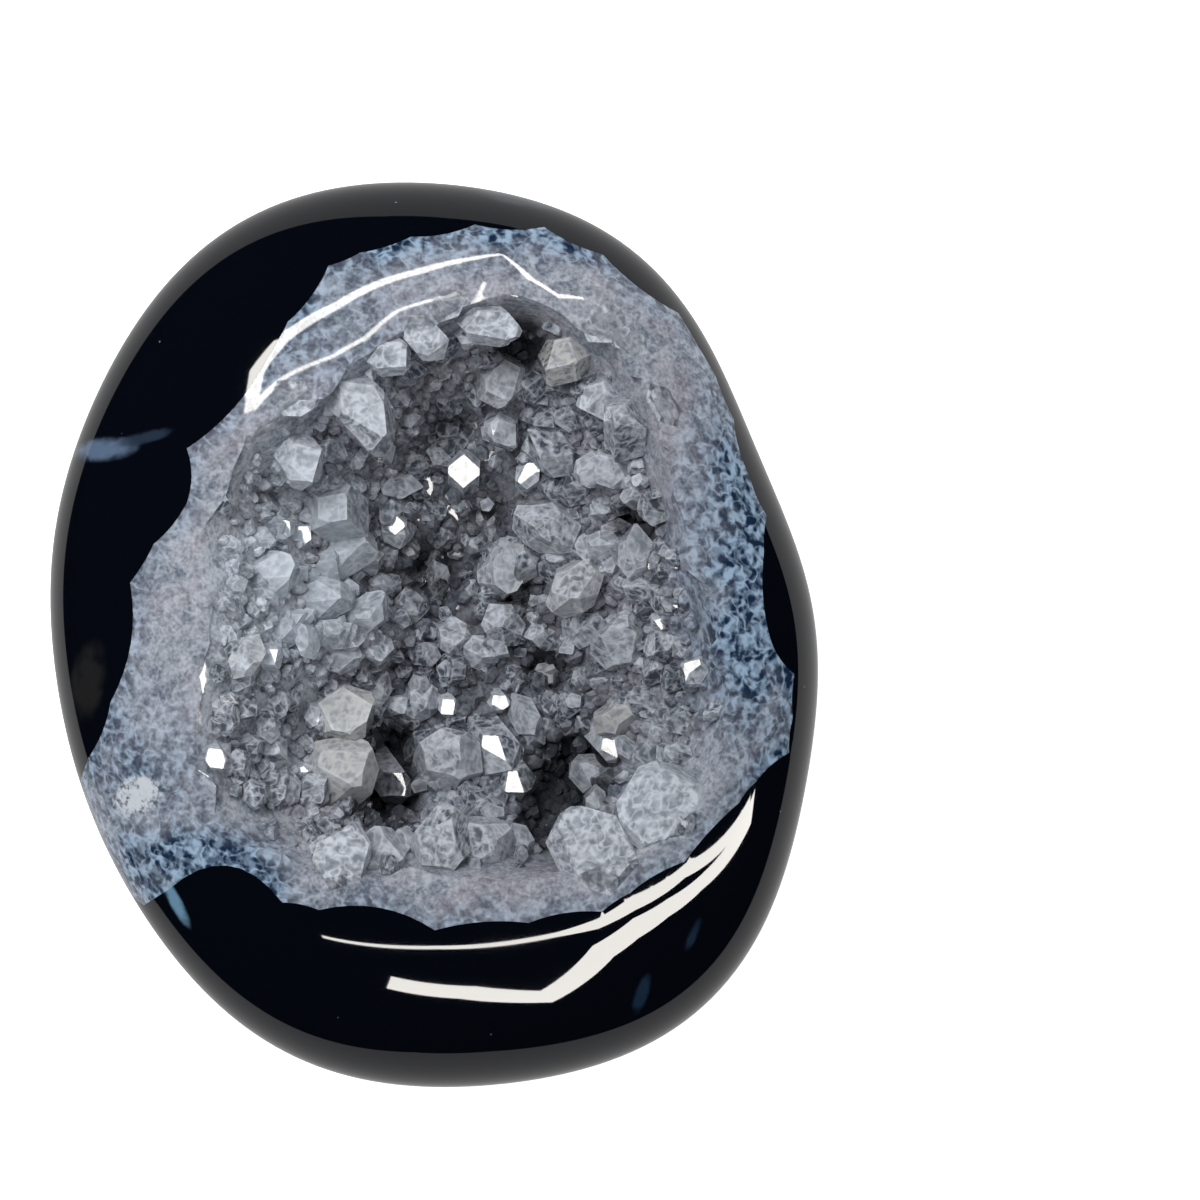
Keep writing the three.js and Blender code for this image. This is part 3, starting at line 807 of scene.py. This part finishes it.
def clear_quartz():
    material, tree = new_material("clear_quartz")
    place = add_node(tree, "TexCoord", output="Object")
    tone = add_node(tree, "Attribute", output="Fac", attribute_name="tone")
    warmth = add_node(tree, "Attribute", output="Fac", attribute_name="warmth")
    heart = add_node(tree, "Attribute", output="Fac", attribute_name="heart")

    # Haze from each face's own tone and the flaws inside.
    veins = veined(tree, place, FLAW_SIZE, 0.4)
    flawed = add_node(tree, "MapRange", [tone, 0.3, 0.9, 1.0, 0.7], **SMOOTH)
    flaws = add_node(tree, "Math", [veins, flawed], operation="MULTIPLY")
    haze = add_node(tree, "MapRange", [tone, 0.0, 0.8, -0.16, 0.45], **SMOOTH)
    haze = add_node(tree, "Math", [haze, flaws], operation="ADD")
    colour = add_node(tree, "Mix", {"Factor": haze, "A": POINT_SHADE, "B": POINT_LIGHT}, **COLOURS)
    for middle, half_sizes, strength in MILKY_PATCHES:
        milkiness = patch_amount(tree, place, middle, half_sizes, 0, strength)
        colour = add_node(tree, "Mix", {"Factor": milkiness, "A": colour, "B": POINT_MILKY}, **COLOURS)

    # A warm stain in some points.
    stained = add_node(tree, "MapRange", [veins, 0.0, 0.8, 0.25, 0.9], **SMOOTH)
    tint = add_node(tree, "Math", [warmth, stained], operation="MULTIPLY")
    colour = add_node(tree, "Mix", {"Factor": tint, "A": colour, "B": POINT_WARM}, **COLOURS)

    # Highlights painted along the edges, here and there.
    edges = add_node(tree, "MapRange", [heart, 0.0, EDGE_SHARE, 1.0, 0.0], **SMOOTH)
    hazy = add_node(tree, "MapRange", [haze, 0.0, 0.5, 0.4, 1.0], **SMOOTH)
    edges = add_node(tree, "Math", [edges, hazy], operation="MULTIPLY")
    cloud = add_node(tree, "TexNoise", {
        "Vector": place, "Scale": 1 / (FLAW_SIZE * MM), "Detail": 2.0,
    }, "Fac")
    broken = add_node(tree, "MapRange", [cloud, 0.35, 0.6, 0.1, 0.6], **SMOOTH)
    edges = add_node(tree, "Math", [edges, broken], operation="MULTIPLY")
    colour = add_node(tree, "Mix", {"Factor": edges, "A": colour, "B": PAINTED_EDGE_HIGHLIGHT}, **COLOURS)

    # Painted shade in the pits, least in the palest faces.
    pit_painted_shade = pit_shade(tree, place, 0.2, 1.3, 0.7)
    shade_by_tone = add_node(tree, "MapRange", [tone, 0.4, 0.8, 1.0, 0.15], **SMOOTH)
    pit_painted_shade = add_node(tree, "Math", [pit_painted_shade, shade_by_tone], operation="MULTIPLY")
    colour = add_node(tree, "Mix", {"Factor": pit_painted_shade, "A": colour, "B": DEEP_PAINTED_SHADE}, **COLOURS)
    surface = add_node(tree, "BsdfPrincipled", {
        "Base Color": colour,
        "Roughness": CRYSTAL_ROUGHNESS,
        "IOR": QUARTZ_IOR,
        "Transmission Weight": POINT_TRANSMISSION,
    })
    add_node(tree, "OutputMaterial", [surface])
    return material


FLAT_FACES_ABOVE = math.radians(12)
for piece, stuff in ((lining, milky_quartz()), (points, clear_quartz())):
    piece.data.shade_smooth()
    piece.data.set_sharp_from_angle(angle=FLAT_FACES_ABOVE)
    piece.data.materials.clear()
    piece.data.materials.append(stuff)
    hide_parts("quartz_crust")
    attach(piece, "root")


# Studio
# A sheet of white paper on a light table, with the lamp frame of a small photo box over it
# and a soft light that the polish doesn't mirror.
PAPER_HALF = 600.0
PAPER_GLOW = 0.8
bm = bmesh.new()
bmesh.ops.create_grid(bm, x_segments=1, y_segments=1, size=PAPER_HALF * MM)
floor = piece_from("floor", bm)
paper, tree = new_material("white_paper")
sheet = add_node(tree, "BsdfPrincipled", {
    "Base Color": linear("F2F2F2"), "Roughness": 0.9,
    "Emission Color": linear("FFFFFF"), "Emission Strength": PAPER_GLOW,
})
add_node(tree, "OutputMaterial", [sheet])
floor.data.materials.append(paper)
floor.visible_glossy = False

# The dim glow through the paper, which the polished side of the stone mirrors.
TABLE_LEFT = -40.0
TABLE_RIGHT = 55.0
TABLE_RADIANCE = 0.5
table_data = bpy.data.lights.new("light_table", "AREA")
table_data.shape = "RECTANGLE"
table_data.size = (TABLE_RIGHT - TABLE_LEFT) * MM
table_data.size_y = 2 * PAPER_HALF * MM
table_data.energy = math.pi * table_data.size * table_data.size_y * TABLE_RADIANCE
light_table = bpy.data.objects.new("light_table", table_data)
light_table.location = ((TABLE_LEFT + TABLE_RIGHT) / 2 * MM, 0.0, -MM)
light_table.rotation_euler = (math.pi, 0.0, 0.0)
light_table.visible_diffuse = False
bpy.context.scene.collection.objects.link(light_table)

# Soft light from all round, which the polish doesn't mirror.
ROOM_LIGHT = 0.6
world = bpy.data.worlds.new("studio")
bpy.context.scene.world = world
world.use_nodes = True
world.node_tree.nodes["Background"].inputs["Color"].default_value = (1, 1, 1, 1)
world.node_tree.nodes["Background"].inputs["Strength"].default_value = ROOM_LIGHT
world.cycles_visibility.glossy = False

# A soft box high on the left behind, which gives the points their light and shade.
SOFT_BOX_PLACE = Vector((-180.0, 210.0, 530.0))
SOFT_BOX_SIZE = 300.0
SOFT_BOX_WATTS = 3.6
soft_data = bpy.data.lights.new("soft_box", "AREA")
soft_data.size = SOFT_BOX_SIZE * MM
soft_data.energy = SOFT_BOX_WATTS
soft_box = bpy.data.objects.new("soft_box", soft_data)
soft_box.location = SOFT_BOX_PLACE * MM
soft_box.rotation_euler = SOFT_BOX_PLACE.to_track_quat("Z", "Y").to_euler()
soft_box.visible_glossy = False
bpy.context.scene.collection.objects.link(soft_box)

# Runs of the lamp frame, each as the bends along it: an azimuth and an elevation in
# degrees, seen from the stone, and the lamp's width there.
LAMP_DISTANCE = 400.0
LAMP_RADIANCE = 18.0
LAMP_WHITE = linear("FFFCF6")
LAMP_RUNS = [
    [(140, 53, 20), (133, 48, 27), (122, 46, 22), (106, 44, 16), (89, 35, 12), (77, 21, 5)],
    [(77, 21, 4), (71, 29, 12), (64, 31, 12), (58, 25, 5)],
    [
        (139, 53, 12), (128, 54, 6), (112, 56, 5), (101, 54, 6),
        (93, 48, 4), (83, 42, 5), (80, 44, 5), (79, 36, 3),
    ],
    [
        (-118, 45, 4), (-90, 51, 6), (-71, 50, 8), (-60, 48, 17),
        (-47, 46, 25), (-30, 37, 20), (-15, 14, 14),
    ],
    [
        (-99, 39, 32), (-86, 37, 34), (-76, 31, 44), (-62, 40, 50),
        (-51, 40, 44), (-40, 36, 34), (-29, 28, 26), (-15, 11, 28),
    ],
]


def lamp_place(azimuth, elevation):
    flat = LAMP_DISTANCE * math.cos(math.radians(elevation))
    return Vector((
        flat * math.cos(math.radians(azimuth)),
        flat * math.sin(math.radians(azimuth)),
        LAMP_DISTANCE * math.sin(math.radians(elevation)),
    ))


bm = bmesh.new()
for run in LAMP_RUNS:
    spots = [lamp_place(azimuth, elevation) for azimuth, elevation, _ in run]
    behind = None
    for i, spot in enumerate(spots):
        along = spots[min(i + 1, len(spots) - 1)] - spots[max(i - 1, 0)]
        half_across = spot.cross(along).normalized() * run[i][2] / 2
        sides = [bm.verts.new((spot + half_across) * MM), bm.verts.new((spot - half_across) * MM)]
        if behind:
            bm.faces.new([behind[0], behind[1], sides[1], sides[0]])
        behind = sides
lamp_frame = piece_from("lamp_frame", bm)
lamp_glow, tree = new_material("lamp_glow")
glow = add_node(tree, "Emission", {"Color": LAMP_WHITE, "Strength": LAMP_RADIANCE})
add_node(tree, "OutputMaterial", [glow])
lamp_frame.data.materials.append(lamp_glow)
lamp_frame.visible_camera = False
lamp_frame.visible_diffuse = False


# Camera
# Straight above the stone, framed as in the photo: the stone's middle lies left
# of and a little below the middle of the picture.
FRAME_WIDTH = 66.24
STONE_LEFT_OF_MIDDLE = 9.22
STONE_BELOW_MIDDLE = 1.88
LENS = 300.0
SENSOR = 36.0
camera_data = bpy.data.cameras.new("camera")
camera_data.lens = LENS
camera_data.sensor_width = SENSOR
camera_data.shift_x = STONE_LEFT_OF_MIDDLE / FRAME_WIDTH
camera_data.shift_y = STONE_BELOW_MIDDLE / FRAME_WIDTH
camera = bpy.data.objects.new("camera", camera_data)
camera.location = (0.0, 0.0, (WIDEST_Z + FRAME_WIDTH * LENS / SENSOR) * MM)
bpy.context.scene.collection.objects.link(camera)
bpy.context.scene.camera = camera
bpy.context.scene.view_settings.view_transform = "Standard"
